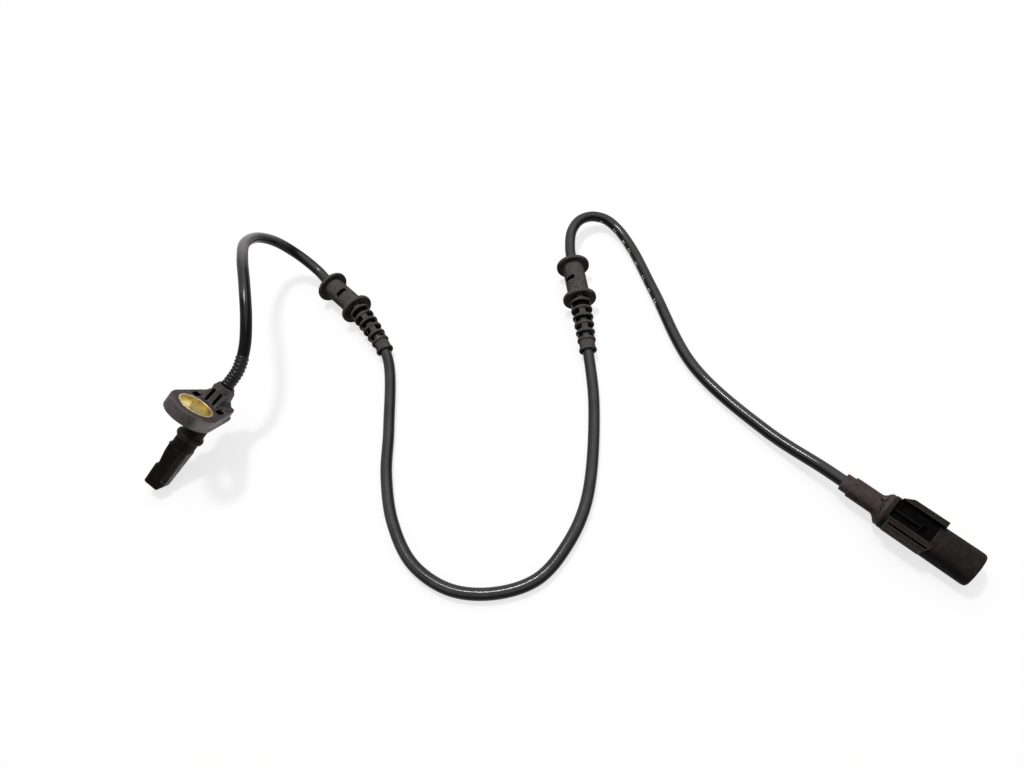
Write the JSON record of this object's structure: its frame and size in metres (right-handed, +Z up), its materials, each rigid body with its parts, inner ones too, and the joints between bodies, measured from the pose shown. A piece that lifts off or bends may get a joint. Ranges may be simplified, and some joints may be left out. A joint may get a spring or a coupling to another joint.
{
  "type": "abs wheel speed sensor",
  "caption": "Wheel speed sensor with a moulded head and brass bolt bush, a cable with ribbed bulkhead grommets, and a round connector with a guarded latch.",
  "frame": {"origin": "on the surface that the part lies on, under the middle of the sensor head and its strain relief", "axes": "+Z up; the head's nose tip points along -Y and its cable leaves along +Y; the connector's mouth opens along +X"},
  "size_m": [0.3195, 0.2405, 0.0488],
  "materials": {
    "head_plastic": "glass-filled moulding, dusty, worn paler along its edges",
    "brass": "turned, dull",
    "seal_rubber": "smooth",
    "carrier_plastic": "moulded",
    "chip_resin": "moulded resin",
    "tinned_copper": "tinned copper alloy, satin",
    "core_supply": "extruded",
    "core_signal": "extruded",
    "relief_rubber": "ribbed, satin",
    "jacket": "glossy black extrusion with dust in its bends",
    "grommet_rubber": "matt, dusty",
    "connector_plastic": "moulded, dusty",
    "lock_plastic": "moulded"
  },
  "bodies": {
    "root": {"head_housing": "head_plastic", "flange_bushing": "brass", "nose_seal_ring": "seal_rubber", "sensor_carrier": "carrier_plastic", "hall_sensor_ic": "chip_resin", "ic_lead_supply": "tinned_copper", "ic_lead_signal": "tinned_copper", "crimp_supply": "tinned_copper", "crimp_signal": "tinned_copper", "head_core_supply": "core_supply", "head_core_signal": "core_signal", "head_strain_relief": "relief_rubber", "cable_jacket": "jacket", "grommet_front": "grommet_rubber", "grommet_rear": "grommet_rubber", "connector_entry_collar": "connector_plastic", "connector_rear_moulding": "connector_plastic", "connector_housing": "connector_plastic", "terminal_lock": "lock_plastic", "terminal_supply": "tinned_copper", "terminal_signal": "tinned_copper", "connector_core_supply": "core_supply", "connector_core_signal": "core_signal"}
  },
  "joints": []
}
